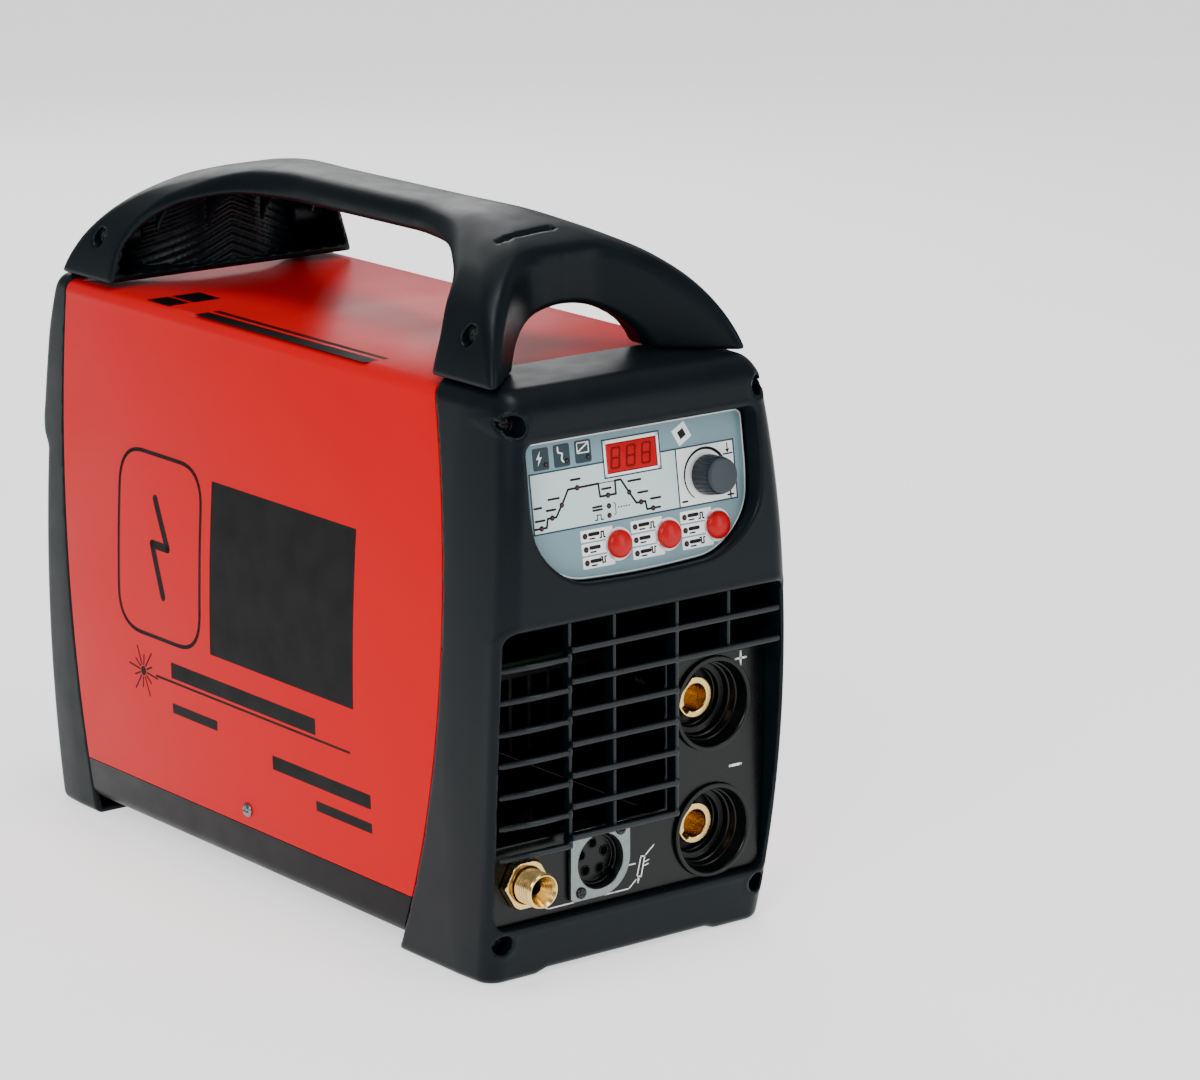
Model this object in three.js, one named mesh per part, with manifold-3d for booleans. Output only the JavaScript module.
// A portable TIG welding power source: a red sheet cover between two moulded bezels,
// a moulded carrying handle, a tilted control panel, a connector panel behind a louvre
// grille, and the fan, gas and power parts inside.
// Millimetres, +Z up, the front faces -Y, and the origin is under the middle of the box.

import * as THREE from 'three';
import { mergeVertices } from 'three/addons/utils/BufferGeometryUtils.js';
import Module from 'manifold-3d';

const wasm = await Module();
wasm.setup();

// ---------------------------------------------------------------- driving sizes

const GAP = 0.4; // free space kept between two touching pieces

// The body, seen from the front: sides that bulge like a barrel.
const HALF_WIDTH = 88;
const WIDEST_Z = 110;
const SIDE_RADIUS = 1094;
const SIDE_STEPS = 6;

// Where the bezels meet the cover.
const FRONT_SEAM_Y = -161.5;
const FRONT_SEAM_Z = 164;
const FRONT_SEAM_RADIUS = 330;
const REAR_SEAM_Y = 149.5;
const REAR_SEAM_SLOPE = 0.093;

// The bulging front face.
const FACE_Y = -205;
const FACE_Z = 176;
const FACE_RADIUS_BELOW = 869;
const FACE_RADIUS_ABOVE = 535;
const FACE_TOP_Z = 262;

const WALL = 3.2; // moulded plastic
const SHEET = 1.5; // painted steel
const BEZEL_TOP_Z = 276.6;
const BEZEL_FLOOR_Z = 5;
const FOOT_INNER_X = 50;
const FOOT_HEIGHT = 2;

const COVER_TOP_Z = 274.2;
const COVER_LOW_Z = 30.5;
const COVER_CORNER = 7;

const TRAY_Z = 8.4;
const TRAY_FRONT_Y = -170;
const TRAY_REAR_Y = 140;

// The connector opening in the front bezel.
const OPENING_LOW_Z = 27;
const OPENING_HIGH_Z = 170;
const OPENING_SIDE = 6; // from the body's side to the opening's side
const CONNECTOR_PLANE_Y = -187;

// The louvre grille.
const LOUVRE_COUNT = 7;
const LOUVRE_LOW_Z = 67;
const LOUVRE_PITCH = 14.8;
const LOUVRE_THICK = 3.2;
const LOUVRE_SPLIT_X = -40;
const LOUVRE_END_X = 20;
const LOUVRE_DROP = 4; // the bars left of the split stand lower
const LOUVRE_SET_BACK = 3; // and further back
const RIB_HALF = 1;
const GRILLE_FRONT_Y = -199.5;
const GRILLE_BACK_Y = -191.5;

// Weld current sockets.
const SOCKET_X = 49.7;
const SOCKET_MINUS_Z = 50.1;
const SOCKET_PLUS_Z = 111.9;
const SOCKET_RIM_R = 22.7;
const SOCKET_BODY_R = 21.2;
const CONTACT_R = 10;
const CONTACT_BORE_R = 6.5;
const CONTACT_FACE_Y = -175;

// Torch control connector and gas outlet.
const TORCH_X = -18;
const TORCH_Z = 49;
const TORCH_FLANGE = 34.6;
const TORCH_RING_R = 13.2;
const TORCH_BARREL_R = 15;
const TORCH_PLATE = 2.4;
const TORCH_SCREW_R = 1.5;
const TORCH_SCREW_HEAD_R = 2.9;
const TORCH_SCREWS = [[TORCH_X - 11.6, TORCH_Z - 13.2], [TORCH_X + 11.6, TORCH_Z + 13.2]];
const TORCH_PIN_R = 1.7;
const TORCH_PIN_CIRCLE_R = 7;
const TORCH_PIN_COUNT = 5;
const GAS_X = -62;
const GAS_Z = 47;
const GAS_THREAD_R = 8.33; // 3/8 inch pipe thread
const GAS_TIP_Y = -204.5;
const GAS_BORE_R = 3.4;
const GAS_NUT_FLATS = 22;
const GAS_NUT_THICK = 5;

// The control panel, in its own tilted frame: x right, y up the panel, z out of it.
const PANEL_TILT = 8 * Math.PI / 180;
const PANEL_ORIGIN = new THREE.Vector3(0, -193, 221);
const PANEL_THICK = 2;
const PANEL_TOP = 31.2;
const KNOB_X = 41.3;
const KNOB_Y = 3;
const KNOB_R = 9.5;
const KNOB_CAP_R = 8.2;
const KNOB_BACK = 1.2;
const KNOB_FRONT = 11.6;
const KNOB_CAP_FRONT = 13.7;
const BUTTON_R = 6.5;
const BUTTON_Y = -21;
const BUTTON_FIRST_X = -11.7;
const BUTTON_PITCH = 28.7;
const DISPLAY = { left: -14.6, right: 14.4, low: 11.2, high: 24.8 };

// The handle.
const HANDLE_TOP_Z = 340;
const HANDLE_FOOT_Z = BEZEL_TOP_Z + GAP;
const GRIP_HALF_WIDTH = 19.5;
const GRIP_UNDER_Z = 324;
const GRIP_INSERT = { halfWidth: 14, halfLength: 92, low: 322.6, high: 328 };

// The rear.
const REAR_FACE_Y = 189;
const REAR_STEP_Y = 195.6;
const FAN_Z = 94;
const FAN_SIZE = 120;
const FAN_BORE_R = 57;
const FAN_FRONT_Y = 158;
const FAN_BACK_Y = 184.5;
const REAR_CONTROLS_Z = 226;
const SWITCH_X = 38;
const GLAND_X = -6;
const INLET_X = -50;
const INLET_Z = 176;
const BLADE_COUNT = 7;
const FAN_HUB_R = 21;

// Screws.
const SCREW_HEAD_R = 3.8;
const SCREW_SHANK_R = 1.9;
const SCREW_WELL_R = 4.8;
const FRONT_SCREWS = {
  top_left: [-69.5, 262.5], top_right: [69.5, 262.5],
  low_left: [-74.5, 20], low_right: [74.5, 20],
};
const REAR_SCREWS = {
  top_left: [-66, 258], top_right: [66, 258],
  low_left: [-74, 20], low_right: [74, 20],
};
const HANDLE_SCREW_Y = 157;
const HANDLE_SCREW_Z = 297;
const COVER_SCREW_Y = 3;
const COVER_SCREW_Z = 39;

// The knob cap's lower edge reaches furthest forward, and the gland reaches as far to the rear.
const CAP_LOW_EDGE = KNOB_Y - KNOB_CAP_R + 0.8;
const CAP_REACH = KNOB_CAP_FRONT * Math.cos(PANEL_TILT) - CAP_LOW_EDGE * Math.sin(PANEL_TILT);
const REAR_REACH_Y = -PANEL_ORIGIN.y + CAP_REACH;

// ---------------------------------------------------------------- materials

function finish(color, roughness, metalness) {
  return new THREE.MeshStandardMaterial({ color, roughness, metalness });
}

const bezelPlastic = finish(0x1f2a2e, 0.55, 0);
const grillePlastic = finish(0x1a2327, 0.5, 0);
const blackPlastic = finish(0x0c0f11, 0.5, 0);
const redPaint = finish(0xe30d12, 0.4, 0);
const trayPaint = finish(0x15191b, 0.55, 0);
const panelFilm = finish(0x7d98a0, 0.45, 0);
const redLens = finish(0xb0121a, 0.15, 0);
const redButton = finish(0xc8141c, 0.35, 0);
const knobPlastic = finish(0x232d38, 0.5, 0);
const knobGrey = finish(0x6e7a80, 0.45, 0);
const brass = finish(0xc79a52, 0.3, 1);
const satinSteel = finish(0xa9adad, 0.35, 1);
const blackSteel = finish(0x222426, 0.4, 1);
const boardGreen = finish(0x1d4a2a, 0.6, 0);
const aluminium = finish(0xb4b7b9, 0.4, 1);
const copper = finish(0xa85f34, 0.4, 1);
const ferrite = finish(0x2c2c2e, 0.6, 0);
const hoseRubber = finish(0x16181a, 0.7, 0);

// ---------------------------------------------------------------- solids

function signedVolume(positions, triangles) {
  let total = 0;
  const corner = (index) => new THREE.Vector3().fromArray(positions, 3 * index);
  for (let t = 0; t < triangles.length; t += 3) {
    const [a, b, c] = [0, 1, 2].map((k) => corner(triangles[t + k]));
    total += a.dot(b.cross(c)) / 6;
  }
  return total;
}

// Turns a three.js geometry into a solid, with shared corners merged.
function solid(geometry) {
  geometry.deleteAttribute('normal');
  geometry.deleteAttribute('uv');
  const merged = mergeVertices(geometry, 1e-4);
  const vertProperties = new Float32Array(merged.attributes.position.array);
  const index = merged.index.array;
  const kept = [];
  for (let t = 0; t < index.length; t += 3) {
    const [a, b, c] = [index[t], index[t + 1], index[t + 2]];
    if (a !== b && b !== c && c !== a) kept.push(a, b, c);
  }
  if (signedVolume(vertProperties, kept) < 0) kept.reverse();
  const triVerts = new Uint32Array(kept);
  return new wasm.Manifold(new wasm.Mesh({ numProp: 3, vertProperties, triVerts }));
}

function geometryOf(body) {
  const mesh = body.getMesh();
  const geometry = new THREE.BufferGeometry();
  geometry.setAttribute('position', new THREE.BufferAttribute(mesh.vertProperties, 3));
  geometry.setIndex(new THREE.BufferAttribute(mesh.triVerts, 1));
  geometry.computeVertexNormals();
  return geometry;
}

function shapeOf(points) {
  return new THREE.Shape(points.map(([x, y]) => new THREE.Vector2(x, y)));
}

// Prisms: an outline carried along one axis.
function prismZ(shape, low, high, curveSegments = 8) {
  const options = { depth: high - low, bevelEnabled: false, curveSegments };
  return new THREE.ExtrudeGeometry(shape, options).translate(0, 0, low);
}

function prismY(shape, low, high, curveSegments = 8) {
  const geometry = prismZ(shape, 0, high - low, curveSegments);
  return geometry.rotateX(Math.PI / 2).translate(0, high, 0);
}

function prismX(shape, low, high, curveSegments = 8) {
  const geometry = prismZ(shape, 0, high - low, curveSegments);
  const turn = new THREE.Matrix4().set(0, 0, 1, 0, 1, 0, 0, 0, 0, 1, 0, 0, 0, 0, 0, 1);
  return geometry.applyMatrix4(turn).translate(low, 0, 0);
}

// A turned body about +Y; the profile is [radius, y] and closes on itself or on the axis.
function turned(profile, segments = 24) {
  const points = profile.map(([radius, y]) => new THREE.Vector2(radius, y));
  return new THREE.LatheGeometry(points, segments);
}

function rodY(radius, low, high, segments = 20) {
  return turned([[0, low], [radius, low], [radius, high], [0, high]], segments);
}

function ringY(inner, outer, low, high, segments = 24) {
  return turned([[inner, low], [outer, low], [outer, high], [inner, high], [inner, low]], segments);
}

function box(x0, y0, z0, x1, y1, z1) {
  const geometry = new THREE.BoxGeometry(x1 - x0, y1 - y0, z1 - z0);
  return geometry.translate((x0 + x1) / 2, (y0 + y1) / 2, (z0 + z1) / 2);
}

function roundedRect(x0, y0, x1, y1, r) {
  const shape = new THREE.Shape();
  shape.moveTo(x0 + r, y0);
  shape.lineTo(x1 - r, y0);
  shape.absarc(x1 - r, y0 + r, r, -Math.PI / 2, 0);
  shape.lineTo(x1, y1 - r);
  shape.absarc(x1 - r, y1 - r, r, 0, Math.PI / 2);
  shape.lineTo(x0 + r, y1);
  shape.absarc(x0 + r, y1 - r, r, Math.PI / 2, Math.PI);
  shape.lineTo(x0, y0 + r);
  shape.absarc(x0 + r, y0 + r, r, Math.PI, 1.5 * Math.PI);
  return shape;
}

function circleHole(x, y, r) {
  const hole = new THREE.Path();
  hole.absarc(x, y, r, 0, 2 * Math.PI, true);
  return hole;
}

function hexagon(acrossFlats) {
  const corners = [0, 1, 2, 3, 4, 5].map((k) => [
    acrossFlats / Math.sqrt(3) * Math.cos(k * Math.PI / 3),
    acrossFlats / Math.sqrt(3) * Math.sin(k * Math.PI / 3),
  ]);
  return shapeOf(corners);
}

// A closed skin through rings of equal length, capped by the middles of its end rings.
function loft(rings) {
  const count = rings[0].length;
  const positions = rings.flat().flat();
  const index = [];
  for (let ring = 0; ring + 1 < rings.length; ring += 1) {
    for (let k = 0; k < count; k += 1) {
      const a = ring * count + k;
      const b = ring * count + (k + 1) % count;
      index.push(a, b, b + count, a, b + count, a + count);
    }
  }
  for (const end of [0, rings.length - 1]) {
    const middle = [0, 1, 2].map((axis) => rings[end].reduce((sum, p) => sum + p[axis], 0) / count);
    const centre = positions.length / 3;
    positions.push(...middle);
    for (let k = 0; k < count; k += 1) {
      const a = end * count + k;
      const b = end * count + (k + 1) % count;
      if (end === 0) index.push(centre, b, a);
      else index.push(centre, a, b);
    }
  }
  const geometry = new THREE.BufferGeometry();
  geometry.setAttribute('position', new THREE.Float32BufferAttribute(positions, 3));
  geometry.setIndex(index);
  return geometry;
}

function unite(parts) {
  return parts.map(solid).reduce((sum, part) => sum.add(part));
}

function cut(body, tools) {
  return tools.map(solid).reduce((rest, tool) => rest.subtract(tool), body);
}

// ---------------------------------------------------------------- the scene graph

const machine = new THREE.Group();
const panelGroup = new THREE.Group();
panelGroup.position.copy(PANEL_ORIGIN);
panelGroup.rotation.x = Math.PI / 2 - PANEL_TILT;
machine.add(panelGroup);
panelGroup.updateMatrix();
const toMachine = panelGroup.matrix;

function node(name, shape, material, parent = machine, position = [0, 0, 0]) {
  const geometry = shape.isBufferGeometry ? shape : geometryOf(shape);
  const mesh = new THREE.Mesh(geometry, material);
  mesh.name = name;
  mesh.position.set(...position);
  parent.add(mesh);
  return mesh;
}

// ---------------------------------------------------------------- body outlines

function arcSag(radius, offset) {
  return radius - Math.sqrt(radius ** 2 - offset ** 2);
}

function sideX(z) {
  return HALF_WIDTH - arcSag(SIDE_RADIUS, z - WIDEST_Z);
}

function frontSeamY(z) {
  return FRONT_SEAM_Y + arcSag(FRONT_SEAM_RADIUS, z - FRONT_SEAM_Z);
}

function rearSeamY(z) {
  return REAR_SEAM_Y + REAR_SEAM_SLOPE * z;
}

function faceY(z) {
  return FACE_Y + arcSag(z < FACE_Z ? FACE_RADIUS_BELOW : FACE_RADIUS_ABOVE, z - FACE_Z);
}

function steps(from, to, count) {
  return Array.from({ length: count + 1 }, (_, k) => from + (to - from) * k / count);
}

// The front view of the body, inset from the sides and the top.
function bodyOutline(inset, low, high, corner) {
  const right = steps(low, high - corner, SIDE_STEPS).map((z) => [sideX(z) - inset, z]);
  const centreX = sideX(high - corner) - inset - corner;
  for (const turn of steps(0, Math.PI / 2, 4).slice(1)) {
    right.push([centreX + corner * Math.cos(turn), high - corner + corner * Math.sin(turn)]);
  }
  const left = right.map(([x, z]) => [-x, z]).reverse();
  return [...right, ...left];
}

// The side view of the cover and tray, between the two seams.
function betweenSeams() {
  const front = steps(-8, 290, 12).map((z) => [frontSeamY(z) + GAP, z]);
  return [[rearSeamY(-8) - GAP, -8], [rearSeamY(290) - GAP, 290], ...front.reverse()];
}

function frontBezelSide(inset, backShift) {
  const low = inset > 0 ? BEZEL_FLOOR_Z : 0;
  const face = steps(low, FACE_TOP_Z, 10).map((z) => [faceY(z) + inset, z]);
  const ridge = new THREE.QuadraticBezierCurve(
    new THREE.Vector2(faceY(FACE_TOP_Z), FACE_TOP_Z),
    new THREE.Vector2(-195, 276.4),
    new THREE.Vector2(-181, BEZEL_TOP_Z),
  ).getPoints(5).slice(1).map((p) => [p.x + inset, p.y - inset]);
  const seam = steps(BEZEL_TOP_Z - inset, low, 12).map((z) => [frontSeamY(z) + backShift, z]);
  return shapeOf([...face, ...ridge, ...seam]);
}

function rearBezelSide(inset, frontShift) {
  const low = inset > 0 ? BEZEL_FLOOR_Z : 0;
  const back = [
    [REAR_FACE_Y - 3, low], [REAR_FACE_Y, low + 4], [REAR_FACE_Y, 186], [REAR_STEP_Y - 3, 191],
    [REAR_STEP_Y, 212], [REAR_STEP_Y, 240], [193.6, 258], [190, 270],
  ].map(([y, z]) => [y - inset, z]);
  const top = [[185, BEZEL_TOP_Z - inset], [rearSeamY(BEZEL_TOP_Z) - frontShift, BEZEL_TOP_Z - inset]];
  return shapeOf([...back, ...top, [rearSeamY(low) - frontShift, low]]);
}

// The bezels' outer skins: body outlines that draw in towards the ends.
function bezelSkin(stations, inset) {
  return loft(stations.map(([y, drawIn]) => {
    const corner = 8 - Math.min(inset, 4);
    const outline = bodyOutline(inset + drawIn, inset > 0 ? BEZEL_FLOOR_Z : 0, BEZEL_TOP_Z - inset, corner);
    return outline.map(([x, z]) => [x, y, z]);
  }));
}

const FRONT_STATIONS = [[-100, 0], [-166, 0], [-184, 1.6], [-193, 3.6], [-200, 7], [-206, 15]];
const REAR_STATIONS = [[197, 8], [192, 3.6], [184, 1.2], [172, 0], [120, 0]];

function openingOutline(grow) {
  const side = (z) => sideX(z) - OPENING_SIDE + grow;
  const right = steps(OPENING_LOW_Z - grow, OPENING_HIGH_Z + grow, 5).map((z) => [side(z), z]);
  return shapeOf([...right, ...right.map(([x, z]) => [-x, z]).reverse()]);
}

// ---------------------------------------------------------------- control panel outline

function panelOutline(grow) {
  const shape = new THREE.Shape();
  const wide = 65.3 + grow;
  const top = PANEL_TOP + grow;
  const low = -35.2 - grow;
  shape.moveTo(0, low);
  shape.bezierCurveTo(36, low, 56 + grow, -33.4 - grow, 60.4 + grow, -19);
  shape.bezierCurveTo(63.4 + grow, -11, 66.6 + grow, 8, wide, top - 5);
  shape.quadraticCurveTo(wide - 0.4, top, wide - 5, top);
  shape.lineTo(5 - wide, top);
  shape.quadraticCurveTo(0.4 - wide, top, -wide, top - 5);
  shape.bezierCurveTo(-66.6 - grow, 8, -63.4 - grow, -11, -60.4 - grow, -19);
  shape.bezierCurveTo(-56 - grow, -33.4 - grow, -36, low, 0, low);
  return shape;
}

const BUTTON_XS = [0, 1, 2].map((k) => BUTTON_FIRST_X + k * BUTTON_PITCH);

// ---------------------------------------------------------------- screws

// A pan head screw along +Y: its head is at y <= 0 and its shank at y >= 0.
function screwGeometry(length) {
  return turned([
    [0, -2.4], [SCREW_HEAD_R - 1, -2.2], [SCREW_HEAD_R, 0], [SCREW_SHANK_R, 0],
    [SCREW_SHANK_R, length], [0, length],
  ], 8);
}

function screwWell(x, z, mouthY, seatY, deepY) {
  const [wellLow, wellHigh] = [Math.min(mouthY, seatY), Math.max(mouthY, seatY)];
  const [holeLow, holeHigh] = [Math.min(seatY, deepY) - 0.5, Math.max(seatY, deepY) + 0.5];
  return [
    rodY(SCREW_WELL_R, wellLow, wellHigh, 10).translate(x, 0, z),
    rodY(SCREW_SHANK_R + GAP, holeLow, holeHigh, 8).translate(x, 0, z),
  ];
}

const FRONT_SEAT_TOP_Y = -187;
const FRONT_SEAT_LOW_Y = -181;
const REAR_SEAT_Y = 184;
const FRONT_BOSS_Y = -163;
const REAR_BOSS_Y = 168;
const BOSS_R = 7;

function frontSeatY(z) {
  return z > WIDEST_Z ? FRONT_SEAT_TOP_Y : FRONT_SEAT_LOW_Y;
}

// ---------------------------------------------------------------- front bezel and grille

function frontBezel() {
  const skin = solid(bezelSkin(FRONT_STATIONS, 0)).intersect(solid(prismX(frontBezelSide(0, 0), -90, 90)));
  const cavityStations = FRONT_STATIONS.map(([y, drawIn]) => [y + WALL, drawIn]);
  const cavity = solid(bezelSkin(cavityStations, WALL))
    .intersect(solid(prismX(frontBezelSide(WALL, 20), -90, 90)));
  let shell = skin.subtract(cavity);
  const tubs = [
    prismY(openingOutline(WALL), -210, CONNECTOR_PLANE_Y + 4),
    prismZ(panelOutline(WALL), -PANEL_THICK - WALL, 30, 5).applyMatrix4(toMachine),
    ...Object.values(FRONT_SCREWS).map(([x, z]) => rodY(BOSS_R, FACE_Y, FRONT_BOSS_Y, 10).translate(x, 0, z)),
  ];
  shell = tubs.map(solid).reduce((sum, tub) => sum.add(tub.intersect(skin)), shell);
  const wells = Object.values(FRONT_SCREWS).flatMap(([x, z]) => (
    screwWell(x, z, -215, frontSeatY(z), FRONT_BOSS_Y)
  ));
  return cut(shell, [
    prismY(openingOutline(0), -215, -160),
    prismZ(panelOutline(GAP), -PANEL_THICK - 0.3, 40, 5).applyMatrix4(toMachine),
    prismZ(panelOutline(-2.4), -30, 10, 5).applyMatrix4(toMachine),
    box(-FOOT_INNER_X, -220, -1, FOOT_INNER_X, -100, FOOT_HEIGHT),
    ...wells,
  ]);
}

function frontGrille() {
  const clear = openingOutline(-GAP);
  const endX = 90;
  const bars = [];
  const topBar = LOUVRE_COUNT - 1;
  const half = LOUVRE_THICK / 2;
  const leftFrontY = GRILLE_FRONT_Y + LOUVRE_SET_BACK;
  for (let k = 0; k < LOUVRE_COUNT; k += 1) {
    const z = LOUVRE_LOW_Z + k * LOUVRE_PITCH;
    const rightX = k >= topBar - 1 ? endX : LOUVRE_END_X + 1;
    bars.push(box(LOUVRE_SPLIT_X, GRILLE_FRONT_Y, z - half, rightX, GRILLE_BACK_Y, z + half));
    const leftZ = z - LOUVRE_DROP;
    bars.push(box(-endX, leftFrontY, leftZ - half, LOUVRE_SPLIT_X + 1, GRILLE_BACK_Y, leftZ + half));
  }
  const lowZ = LOUVRE_LOW_Z - half;
  const upperRowsZ = LOUVRE_LOW_Z + (topBar - 1) * LOUVRE_PITCH;
  const ribTop = OPENING_HIGH_Z - GAP - 0.1;
  const ribs = [[LOUVRE_SPLIT_X, lowZ - LOUVRE_DROP], [-16, lowZ], [LOUVRE_END_X, lowZ], [51, upperRowsZ]];
  for (const [x, z] of ribs) {
    bars.push(box(x - RIB_HALF, GRILLE_FRONT_Y + 1.2, z, x + RIB_HALF, GRILLE_BACK_Y, ribTop));
  }
  return unite(bars).intersect(solid(prismY(clear, -215, -180)));
}

// ---------------------------------------------------------------- cover and tray

function cover() {
  const outer = solid(prismY(shapeOf(bodyOutline(0, COVER_LOW_Z, COVER_TOP_Z, COVER_CORNER)), -180, 190));
  const inner = bodyOutline(SHEET, COVER_LOW_Z - 6, COVER_TOP_Z - SHEET, COVER_CORNER - SHEET);
  const shell = outer.subtract(solid(prismY(shapeOf(inner), -190, 200)));
  const trimmed = shell.intersect(solid(prismX(shapeOf(betweenSeams()), -100, 100)));
  return cut(trimmed, [-1, 1].map((side) => (
    rodY(SCREW_SHANK_R + GAP, -5, 5, 10).rotateZ(Math.PI / 2)
      .translate(side * sideX(COVER_SCREW_Z), COVER_SCREW_Y, COVER_SCREW_Z)
  )));
}

// The tray's sides stand under the cover, then step in to take the cover's screws.
function baseTray() {
  const stepZ = COVER_LOW_Z - GAP;
  const flangeTop = 52;
  const inside = SHEET + GAP;
  const turn = 6;
  const halfFloor = sideX(TRAY_Z) - turn;
  const outer = [
    [halfFloor, TRAY_Z], [sideX(11) - 2, 10.4], [sideX(16), 16], [sideX(stepZ), stepZ],
    [sideX(stepZ) - inside, stepZ], [sideX(flangeTop) - inside, flangeTop],
  ];
  const inner = [
    [sideX(flangeTop) - inside - SHEET, flangeTop], [sideX(stepZ) - inside - SHEET, stepZ - SHEET],
    [sideX(16) - SHEET - 0.6, 16.4], [halfFloor - 0.4, TRAY_Z + SHEET],
  ];
  const right = [...outer, ...inner];
  const left = right.map(([x, z]) => [-x, z]).reverse();
  const profile = prismY(shapeOf([...right, ...left]), -180, 190);
  const tray = solid(profile).intersect(solid(prismX(shapeOf(betweenSeams()), -100, 100)));
  const tongue = box(-70, TRAY_FRONT_Y, TRAY_Z, 70, TRAY_REAR_Y + 30, TRAY_Z + SHEET);
  return cut(tray.add(solid(tongue)), [-1, 1].map((side) => (
    rodY(SCREW_SHANK_R + GAP, -8, 8, 10).rotateZ(Math.PI / 2)
      .translate(side * (sideX(COVER_SCREW_Z) - 3), COVER_SCREW_Y, COVER_SCREW_Z)
  )));
}

// ---------------------------------------------------------------- rear bezel and grille

function rearBezel() {
  const skin = solid(bezelSkin(REAR_STATIONS, 0)).intersect(solid(prismX(rearBezelSide(0, 0), -90, 90)));
  const cavityStations = REAR_STATIONS.map(([y, drawIn]) => [y - WALL, drawIn]);
  const cavity = solid(bezelSkin(cavityStations, WALL))
    .intersect(solid(prismX(rearBezelSide(WALL, 20), -90, 90)));
  let shell = skin.subtract(cavity);
  const bosses = Object.values(REAR_SCREWS).map(([x, z]) => (
    rodY(BOSS_R, REAR_BOSS_Y, REAR_STEP_Y, 10).translate(x, 0, z)
  ));
  shell = bosses.map(solid).reduce((sum, boss) => sum.add(boss.intersect(skin)), shell);
  const wells = Object.values(REAR_SCREWS).flatMap(([x, z]) => (
    screwWell(x, z, 200, REAR_SEAT_Y, REAR_BOSS_Y)
  ));
  return cut(shell, [
    rodY(FAN_BORE_R + 2 * GAP, 170, 200, 28).translate(0, 0, FAN_Z),
    rodY(10 + GAP, 170, 200).translate(SWITCH_X, 0, REAR_CONTROLS_Z),
    rodY(11 + GAP, 170, 200).translate(GLAND_X, 0, REAR_CONTROLS_Z),
    rodY(6 + GAP, 170, 200).translate(INLET_X, 0, INLET_Z),
    box(-FOOT_INNER_X, 100, -1, FOOT_INNER_X, 220, FOOT_HEIGHT),
    ...wells,
  ]);
}

function rearFanGrille() {
  const low = REAR_FACE_Y - WALL + 0.2;
  const high = REAR_FACE_Y;
  const rings = [14, 28, 42].map((r) => ringY(r, r + 2.6, low, high, 18));
  rings.push(ringY(FAN_BORE_R - 2.6, FAN_BORE_R, low, high, 28));
  const spokes = [0, 1, 2].map((k) => (
    box(-1.4, low, -FAN_BORE_R + 1, 1.4, high, FAN_BORE_R - 1).rotateY(k * Math.PI / 3)
  ));
  return unite([...rings, ...spokes]);
}

// ---------------------------------------------------------------- handle

function mirrored(points) {
  return [...points, ...points.map(([a, b]) => [-a, b]).reverse()];
}

function handleShell() {
  const side = mirrored([
    [184.6, HANDLE_FOOT_Z], [184.6, 280], [172, 300], [157, 316], [141, 326.6],
    [125, 332], [110, 335], [80, HANDLE_TOP_Z],
  ]);
  const front = mirrored([
    [75.4, HANDLE_FOOT_Z], [70, 290], [62, 305], [50, 318], [35, 328], [20, 336], [11, 339.4],
    [6, HANDLE_TOP_Z],
  ]);
  const quarter = [
    [0, 141], [20, 142.5], [34, 150], [50, 164], [62, 176], [71, 184.6], [75.4, 184.6],
    [75.4, 137], [60, 131], [45, 111], [30, 90], [22, 66], [GRIP_HALF_WIDTH, 50],
  ];
  const frontHalf = quarter.map(([x, y]) => [x, -y]);
  const rearHalf = quarter.slice().reverse();
  const right = [...frontHalf, ...rearHalf];
  const plan = [...right, ...right.slice(1, -1).map(([x, y]) => [-x, y]).reverse()];
  const arch = mirrored([[40, 270], [40, 276], [37, 282], [30, 288.5], [20, 295], [10, 299.4], [4, 300.5]]);
  const gap = mirrored([
    [137, 265], [137, 290], [133, 303], [122, 314], [105, 321], [84, GRIP_UNDER_Z],
  ]);
  const body = solid(prismX(shapeOf(side), -90, 90))
    .intersect(solid(prismY(shapeOf(front), -200, 200)))
    .intersect(solid(prismZ(shapeOf(plan), 250, 360)));
  const seat = GRIP_INSERT;
  const recess = [seat.halfWidth + GAP, seat.halfLength + GAP];
  const wells = [-1, 1].flatMap((end) => [-1, 1].flatMap((hand) => [
    rodY(SCREW_WELL_R, 0, 20, 14).rotateZ(-hand * Math.PI / 2)
      .translate(hand * 62, end * HANDLE_SCREW_Y, HANDLE_SCREW_Z),
    rodY(SCREW_SHANK_R + GAP, -14, 1, 10).rotateZ(-hand * Math.PI / 2)
      .translate(hand * 62, end * HANDLE_SCREW_Y, HANDLE_SCREW_Z),
  ]));
  return cut(body, [
    prismY(shapeOf(arch), -195, -130),
    prismX(shapeOf(gap), -100, 100),
    box(-recess[0], -recess[1], 300, recess[0], recess[1], seat.high + GAP),
    ...wells,
  ]);
}

// The ribbed lower half of the grip.
function gripInsert() {
  const { halfWidth, halfLength, low, high } = GRIP_INSERT;
  const ribPitch = 14;
  const ribs = steps(-halfLength + 6, halfLength - 6, Math.round(2 * (halfLength - 6) / ribPitch));
  const bars = ribs.map((y) => box(-halfWidth + 1, y - 1.6, low, halfWidth - 1, y + 1.6, low + 2));
  return unite([box(-halfWidth, -halfLength, low + 1.4, halfWidth, halfLength, high), ...bars]);
}

// ---------------------------------------------------------------- control panel parts

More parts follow.
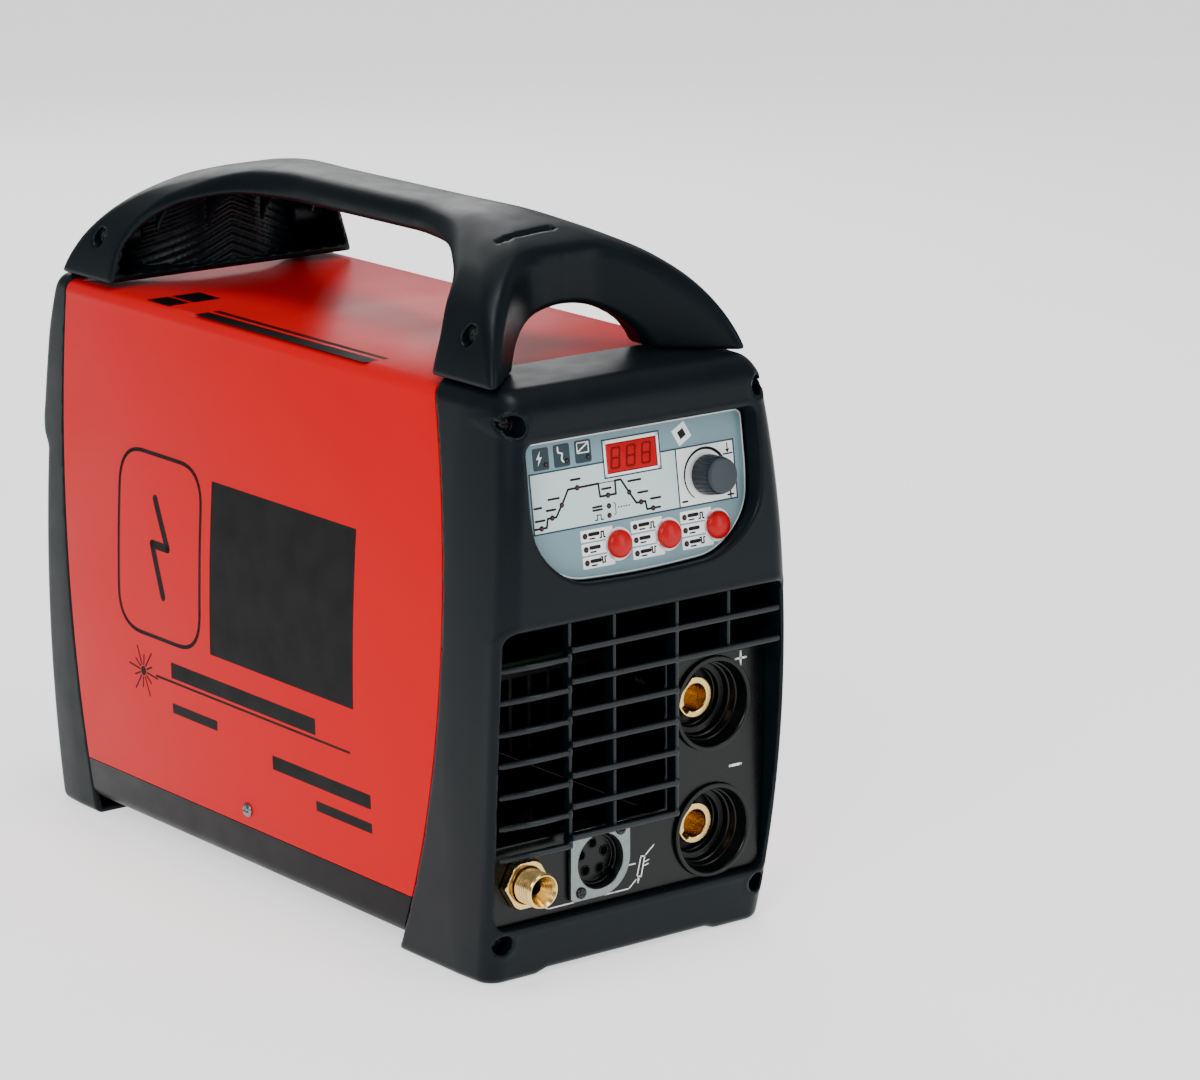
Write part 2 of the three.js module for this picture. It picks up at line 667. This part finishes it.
function controlPanel() {
  const shape = panelOutline(0);
  for (const x of BUTTON_XS) shape.holes.push(circleHole(x, BUTTON_Y, BUTTON_R + GAP));
  shape.holes.push(circleHole(KNOB_X, KNOB_Y, 3.6));
  const hole = new THREE.Path();
  hole.moveTo(DISPLAY.left - GAP, DISPLAY.low - GAP);
  hole.lineTo(DISPLAY.left - GAP, DISPLAY.high + GAP);
  hole.lineTo(DISPLAY.right + GAP, DISPLAY.high + GAP);
  hole.lineTo(DISPLAY.right + GAP, DISPLAY.low - GAP);
  hole.closePath();
  shape.holes.push(hole);
  return prismZ(shape, -PANEL_THICK, 0, 5);
}

function turnedZ(profile, segments) {
  return turned(profile, segments).rotateX(Math.PI / 2);
}

// A domed cap with a retaining flange and a stem behind the panel.
function buttonGeometry() {
  return turnedZ([
    [0, -5], [2.4, -5], [2.4, -3.6], [7, -3.6], [7, -2.6], [BUTTON_R, -2.6],
    [BUTTON_R, 1.6], [5.2, 3], [0, 4],
  ], 16);
}

function controlBoard() {
  const parts = [prismZ(roundedRect(-58, -30, 58, 26, 2), -15, -13.4, 3)];
  for (const x of BUTTON_XS) parts.push(box(x - 3, BUTTON_Y - 3, -14, x + 3, BUTTON_Y + 3, -6.2));
  return unite(parts);
}

const ENCODER_BACK = -13;
const ENCODER_FRONT = -3;

function encoderBody() {
  const block = solid(box(-6.5, -6.5, ENCODER_BACK, 6.5, 6.5, ENCODER_FRONT));
  return cut(block, [turnedZ([[0, -20], [3.4, -20], [3.4, 2], [0, 2]], 16)]);
}

function knobGeometry() {
  const ribCount = 14;
  const outline = [];
  for (let k = 0; k < 2 * ribCount; k += 1) {
    const radius = k % 2 === 0 ? KNOB_R : KNOB_R - 0.7;
    const turn = k * Math.PI / ribCount;
    outline.push([radius * Math.cos(turn), radius * Math.sin(turn)]);
  }
  const bore = turnedZ([[0, 0], [3.3, 0], [3.3, 8.5], [0, 8.5]], 16);
  const seat = turnedZ([[0, 10], [KNOB_CAP_R + GAP, 10], [KNOB_CAP_R + GAP, 15], [0, 15]], 20);
  return cut(solid(prismZ(shapeOf(outline), KNOB_BACK, KNOB_FRONT)), [bore, seat]);
}

// ---------------------------------------------------------------- connectors

function connectorPanel() {
  const side = (z) => sideX(z) - OPENING_SIDE - GAP;
  const [low, rowTop, high] = [OPENING_LOW_Z + GAP, 66, 137];
  const shape = shapeOf([
    [-side(low), low], [side(low), low], [side(rowTop), rowTop], [side(high), high],
    [LOUVRE_END_X + 2, high], [LOUVRE_END_X + 2, rowTop], [-side(rowTop), rowTop],
  ]);
  shape.holes.push(
    circleHole(SOCKET_X, SOCKET_MINUS_Z, SOCKET_BODY_R + 1),
    circleHole(SOCKET_X, SOCKET_PLUS_Z, SOCKET_BODY_R + 1),
    circleHole(TORCH_X, TORCH_Z, TORCH_BARREL_R + GAP),
    circleHole(GAS_X, GAS_Z, GAS_THREAD_R + 2 * GAP),
  );
  for (const [x, z] of TORCH_SCREWS) shape.holes.push(circleHole(x, z, TORCH_SCREW_R + GAP));
  return prismY(shape, CONNECTOR_PLANE_Y, CONNECTOR_PLANE_Y + 3, 8);
}

// A stepped black well around each weld current contact.
function socketHousing() {
  const rim = CONNECTOR_PLANE_Y - GAP;
  const y = (depth) => rim + depth;
  return turned([
    [SOCKET_RIM_R, y(-1.6)], [SOCKET_RIM_R, y(0)], [SOCKET_BODY_R, y(0)], [SOCKET_BODY_R, y(26)],
    [CONTACT_R + GAP, y(26)], [CONTACT_R + GAP, y(21)], [14.5, y(21)], [14.5, y(13)],
    [18, y(13)], [20.2, y(-1.6)], [SOCKET_RIM_R, y(-1.6)],
  ], 20);
}

// The brass contact: a twist-lock bore at the front and a stud end behind.
function socketContact() {
  const back = CONTACT_FACE_Y + 40;
  return turned([
    [CONTACT_BORE_R, CONTACT_FACE_Y], [CONTACT_R, CONTACT_FACE_Y], [CONTACT_R, CONTACT_FACE_Y + 24],
    [5, CONTACT_FACE_Y + 24], [5, back], [0, back], [0, CONTACT_FACE_Y + 22],
    [CONTACT_BORE_R, CONTACT_FACE_Y + 22], [CONTACT_BORE_R, CONTACT_FACE_Y],
  ], 20);
}

function torchFlange() {
  const half = TORCH_FLANGE / 2;
  const shape = new THREE.Shape();
  shape.moveTo(-half + 3, -half);
  shape.lineTo(0, -half);
  shape.absarc(0, 0, half, -Math.PI / 2, 0);
  shape.lineTo(half, half);
  shape.lineTo(-half, half);
  shape.lineTo(-half, -half + 3);
  shape.quadraticCurveTo(-half, -half, -half + 3, -half);
  const front = CONNECTOR_PLANE_Y - GAP - TORCH_PLATE;
  const plate = prismY(shape, front, CONNECTOR_PLANE_Y - GAP, 6);
  const barrel = rodY(TORCH_BARREL_R, front + 1, CONNECTOR_PLANE_Y + 18, 24);
  const body = unite([plate, barrel]);
  return cut(body, [
    rodY(TORCH_RING_R, front - 1, CONNECTOR_PLANE_Y + 30, 20),
    ...TORCH_SCREWS.map(([x, z]) => (
      rodY(TORCH_SCREW_R + GAP, -200, -180, 10).translate(x - TORCH_X, 0, z - TORCH_Z)
    )),
  ]);
}

// The insulating insert with its five contact holes and its key.
function torchInsert() {
  const front = CONNECTOR_PLANE_Y + 4;
  const back = CONNECTOR_PLANE_Y + 16;
  const body = solid(rodY(TORCH_RING_R - 2 * GAP, front, back, 20));
  const pinHoles = Array.from({ length: TORCH_PIN_COUNT }, (_, k) => {
    const turn = Math.PI / 2 + k * 2 * Math.PI / TORCH_PIN_COUNT;
    const [x, z] = [TORCH_PIN_CIRCLE_R * Math.cos(turn), TORCH_PIN_CIRCLE_R * Math.sin(turn)];
    return rodY(TORCH_PIN_R, front - 1, front + 7, 8).translate(x, 0, z);
  });
  return cut(body, pinHoles);
}

function torchScrew() {
  const seat = CONNECTOR_PLANE_Y - GAP - TORCH_PLATE - 0.3;
  const end = seat + 9;
  return turned([
    [0, seat - 2], [2.2, seat - 1.8], [TORCH_SCREW_HEAD_R, seat], [TORCH_SCREW_R, seat],
    [TORCH_SCREW_R, end], [0, end],
  ], 8);
}

// Gas outlet: a threaded nose with a conical seat, a collar and a hose tail.
function gasOutlet() {
  const collar = CONNECTOR_PLANE_Y + 3 + GAP;
  const [collarBack, tailEnd] = [collar + 4, collar + 20];
  return turned([
    [GAS_BORE_R, GAS_TIP_Y + 6], [7, GAS_TIP_Y], [GAS_THREAD_R - 0.6, GAS_TIP_Y],
    [GAS_THREAD_R, GAS_TIP_Y + 1], [GAS_THREAD_R, collar], [12, collar], [12, collarBack],
    [4.8, collarBack], [4.8, tailEnd], [GAS_BORE_R, tailEnd], [GAS_BORE_R, GAS_TIP_Y + 6],
  ], 16);
}

function gasOutletNut() {
  const back = CONNECTOR_PLANE_Y - GAP;
  const body = solid(prismY(hexagon(GAS_NUT_FLATS), back - GAS_NUT_THICK, back));
  return cut(body, [rodY(GAS_THREAD_R + 2 * GAP, -200, -180, 16)]);
}

// ---------------------------------------------------------------- fan

function fanFrame() {
  const half = FAN_SIZE / 2;
  const corners = roundedRect(-half, -half, half, half, 6);
  const body = solid(prismY(corners, FAN_FRONT_Y, FAN_BACK_Y, 3));
  const bored = cut(body, [rodY(FAN_BORE_R, 150, 200, 28)]);
  const struts = [0, 1, 2, 3].map((k) => (
    box(-2, FAN_FRONT_Y, 12, 2, FAN_FRONT_Y + 3, half - 2).rotateY(Math.PI / 4 + k * Math.PI / 2)
  ));
  return bored.add(unite([rodY(16, FAN_FRONT_Y, FAN_FRONT_Y + 3, 20), ...struts]));
}

function fanRotor() {
  const low = FAN_FRONT_Y + 5;
  const high = FAN_BACK_Y - 1.5;
  const blade = () => box(-12, -1, FAN_HUB_R - 3, 12, 1, FAN_BORE_R - 2)
    .rotateZ(Math.PI / 5).translate(0, (low + high) / 2, 0);
  const turns = Array.from({ length: BLADE_COUNT }, (_, k) => k * 2 * Math.PI / BLADE_COUNT);
  const blades = turns.map((turn) => blade().rotateY(turn));
  return unite([rodY(FAN_HUB_R, low, high, 24), ...blades]);
}

// ---------------------------------------------------------------- rear fittings

const INNER_REAR_Y = REAR_STEP_Y - WALL - 3 * GAP;

function powerSwitchBody() {
  return unite([
    box(-20, INNER_REAR_Y - 34, -20, 20, INNER_REAR_Y, 20),
    rodY(10, INNER_REAR_Y - 2, REAR_STEP_Y + 1.5, 20),
  ]);
}

function powerSwitchKnob() {
  const back = REAR_STEP_Y + 2;
  const tip = REAR_REACH_Y - 0.4;
  return unite([rodY(15, back, back + 4, 24), box(-3.4, back + 3, -14, 3.4, tip, 14)]);
}

// The mains lead's cable gland, open right through.
function mainsGland() {
  const [inside, outside] = [INNER_REAR_Y, REAR_STEP_Y + GAP];
  return turned([
    [5.5, inside - 16], [10.6, inside - 16], [10.6, inside - 7], [14, inside - 7], [14, inside],
    [10.9, inside], [10.9, outside], [14.4, outside], [14.4, outside + 6],
    [9.5, REAR_REACH_Y], [5.5, REAR_REACH_Y], [5.5, inside - 16],
  ], 16);
}

function gasInlet() {
  const [inside, outside] = [REAR_FACE_Y - WALL - GAP, REAR_FACE_Y + GAP];
  const tip = REAR_REACH_Y - 1.5;
  return turned([
    [2.4, inside - 8], [9, inside - 8], [9, inside], [5.9, inside], [5.9, outside], [9, outside],
    [9, outside + 4], [4.4, outside + 4], [4.4, outside + 7], [4.8, tip - 4], [3.8, tip], [2.4, tip],
    [2.4, inside - 8],
  ], 14);
}

// ---------------------------------------------------------------- gas valve and hose

const VALVE_X = INLET_X;
const VALVE_Y = 164;
const VALVE_TOP_Z = INLET_Z + 10;

function valveBody() {
  const block = box(-12, -12, -10, 12, 12, 10);
  const tube = rodY(4.4, 0, 34, 16).rotateX(Math.PI / 2).translate(0, 0, 9);
  const bore = rodY(3.3, 0, 40, 16).rotateX(Math.PI / 2).translate(0, 0, 11);
  const passage = rodY(2.4, -20, 20, 12).translate(0, 0, -4);
  return cut(unite([block, tube]), [bore, passage]);
}

function valveCoil() {
  return ringY(4.8, 13, 0, 24, 24).rotateX(Math.PI / 2);
}

function valvePlunger() {
  return rodY(2.9, 0, 24, 16).rotateX(Math.PI / 2);
}

function gasHose() {
  const route = new THREE.CatmullRomCurve3([
    new THREE.Vector3(VALVE_X, 149, INLET_Z - 4),
    new THREE.Vector3(VALVE_X - 10, 134, INLET_Z - 8),
    new THREE.Vector3(-72, 110, 158),
    new THREE.Vector3(-75, 50, 128),
    new THREE.Vector3(-74.5, -30, 94),
    new THREE.Vector3(-73, -100, 62),
    new THREE.Vector3(-66, -138, GAS_Z + 3),
    new THREE.Vector3(GAS_X, -150, GAS_Z),
    new THREE.Vector3(GAS_X, -162, GAS_Z),
  ]);
  const section = new THREE.Shape();
  section.absarc(0, 0, 4, 0, 2 * Math.PI);
  return new THREE.ExtrudeGeometry(section, { steps: 24, curveSegments: 4, extrudePath: route });
}

// ---------------------------------------------------------------- power parts

function heatsink() {
  const finCount = 11;
  const parts = [box(-58, -96, 112, 58, 84, 118)];
  for (let k = 0; k < finCount; k += 1) {
    const x = -56.5 + k * 11.3;
    parts.push(box(x - 1, -96, 76, x + 1, 84, 113));
  }
  return unite(parts);
}

function transformer() {
  return unite([box(-34, 8, 12, 34, 22, 68), box(-34, 54, 12, 34, 68, 68), box(-22, 2, 16, 22, 74, 64)]);
}

function outputInductor() {
  return ringY(13, 34, 12, 40, 28).rotateX(Math.PI / 2).translate(0, -56, 0);
}

function busCapacitor() {
  return rodY(24, 0, 62, 24).rotateX(Math.PI / 2);
}

// ---------------------------------------------------------------- assembly

node('front_bezel', frontBezel(), bezelPlastic);
node('front_grille', frontGrille(), grillePlastic);
node('cover', cover(), redPaint);
node('base_tray', baseTray(), trayPaint);
node('rear_bezel', rearBezel(), bezelPlastic);
node('rear_fan_grille', rearFanGrille(), grillePlastic, machine, [0, 0, FAN_Z]);
node('handle_shell', handleShell(), bezelPlastic);
node('handle_grip_insert', gripInsert(), grillePlastic);

node('control_panel', solid(controlPanel()), panelFilm, panelGroup);
const windowShape = box(DISPLAY.left, DISPLAY.low, 0.4 - PANEL_THICK, DISPLAY.right, DISPLAY.high, -0.2);
node('display_window', windowShape, redLens, panelGroup);
node('display_module', box(-18, 8, -11, 18, 27, -PANEL_THICK - 0.4), blackPlastic, panelGroup);
node('control_board', controlBoard(), boardGreen, panelGroup);
node('encoder_body', encoderBody(), satinSteel, panelGroup, [KNOB_X, KNOB_Y, 0]);
node('encoder_plunger', solid(turnedZ([[0, -12], [2.8, -12], [2.8, -10], [0, -10]], 12)), blackPlastic,
  panelGroup, [KNOB_X, KNOB_Y, 0]);
node('encoder_shaft', solid(turnedZ([[0, -9.6], [3, -9.6], [3, 8], [0, 8]], 16)), satinSteel,
  panelGroup, [KNOB_X, KNOB_Y, 0]);
node('knob', knobGeometry(), knobPlastic, panelGroup, [KNOB_X, KNOB_Y, 0]);
node('knob_cap', solid(turnedZ([
  [0, 10.4], [KNOB_CAP_R, 10.4], [KNOB_CAP_R, 13], [KNOB_CAP_R - 0.8, KNOB_CAP_FRONT], [0, KNOB_CAP_FRONT],
], 20)), knobGrey, panelGroup, [KNOB_X, KNOB_Y, 0]);
['left', 'middle', 'right'].forEach((side, k) => {
  node(`button_${side}`, solid(buttonGeometry()), redButton, panelGroup, [BUTTON_XS[k], BUTTON_Y, 0]);
});

node('connector_panel', solid(connectorPanel()), blackPlastic);
for (const [sign, z] of [['minus', SOCKET_MINUS_Z], ['plus', SOCKET_PLUS_Z]]) {
  node(`socket_housing_${sign}`, solid(socketHousing()), blackPlastic, machine, [SOCKET_X, 0, z]);
  node(`socket_contact_${sign}`, solid(socketContact()), brass, machine, [SOCKET_X, 0, z]);
}
node('torch_connector_flange', torchFlange(), satinSteel, machine, [TORCH_X, 0, TORCH_Z]);
node('torch_connector_insert', torchInsert(), blackPlastic, machine, [TORCH_X, 0, TORCH_Z]);
TORCH_SCREWS.forEach(([x, z], k) => {
  node(`torch_connector_screw_${k + 1}`, solid(torchScrew()), blackSteel, machine, [x, 0, z]);
});
node('gas_outlet_fitting', solid(gasOutlet()), brass, machine, [GAS_X, 0, GAS_Z]);
node('gas_outlet_nut', gasOutletNut(), brass, machine, [GAS_X, 0, GAS_Z]);

node('fan_frame', fanFrame(), blackPlastic, machine, [0, 0, FAN_Z]);
node('fan_rotor', fanRotor(), blackPlastic, machine, [0, 0, FAN_Z]);
node('power_switch_body', powerSwitchBody(), blackPlastic, machine, [SWITCH_X, 0, REAR_CONTROLS_Z]);
node('power_switch_knob', powerSwitchKnob(), blackPlastic, machine, [SWITCH_X, 0, REAR_CONTROLS_Z]);
node('mains_gland', solid(mainsGland()), blackPlastic, machine, [GLAND_X, 0, REAR_CONTROLS_Z]);
node('gas_inlet_fitting', solid(gasInlet()), brass, machine, [INLET_X, 0, INLET_Z]);

node('gas_valve_body', valveBody(), brass, machine, [VALVE_X, VALVE_Y, INLET_Z]);
node('gas_valve_coil', solid(valveCoil()), blackPlastic, machine, [VALVE_X, VALVE_Y, VALVE_TOP_Z + 0.6]);
node('gas_valve_plunger', solid(valvePlunger()), satinSteel, machine, [VALVE_X, VALVE_Y, INLET_Z + 12]);
node('gas_hose', solid(gasHose()), hoseRubber);

node('heatsink', heatsink(), aluminium);
node('power_board', box(-64, -104, 121, 64, 92, 122.8), boardGreen);
node('main_transformer', transformer(), ferrite);
node('output_inductor', solid(outputInductor()), copper);
node('bus_capacitor', solid(busCapacitor()), blackPlastic, machine, [-30, 30, 123.4]);

for (const [place, [x, z]] of Object.entries(FRONT_SCREWS)) {
  node(`front_screw_${place}`, solid(screwGeometry(16)), blackSteel, machine, [x, frontSeatY(z) - 0.3, z]);
}
for (const [place, [x, z]] of Object.entries(REAR_SCREWS)) {
  const screw = node(`rear_screw_${place}`, solid(screwGeometry(14)), blackSteel, machine,
    [x, REAR_SEAT_Y + 0.3, z]);
  screw.rotation.z = Math.PI;
}
for (const [end, sign] of [['front', -1], ['rear', 1]]) {
  for (const [side, hand] of [['left', -1], ['right', 1]]) {
    const screw = node(`handle_screw_${end}_${side}`, solid(screwGeometry(12)), blackSteel, machine,
      [hand * 62.3, sign * HANDLE_SCREW_Y, HANDLE_SCREW_Z]);
    screw.rotation.z = hand * Math.PI / 2;
  }
}
for (const [side, hand] of [['left', -1], ['right', 1]]) {
  const screw = node(`cover_screw_${side}`, solid(screwGeometry(8)), satinSteel, machine,
    [hand * (sideX(COVER_SCREW_Z) + 0.3), COVER_SCREW_Y, COVER_SCREW_Z]);
  screw.rotation.z = hand * Math.PI / 2;
}

export default machine;
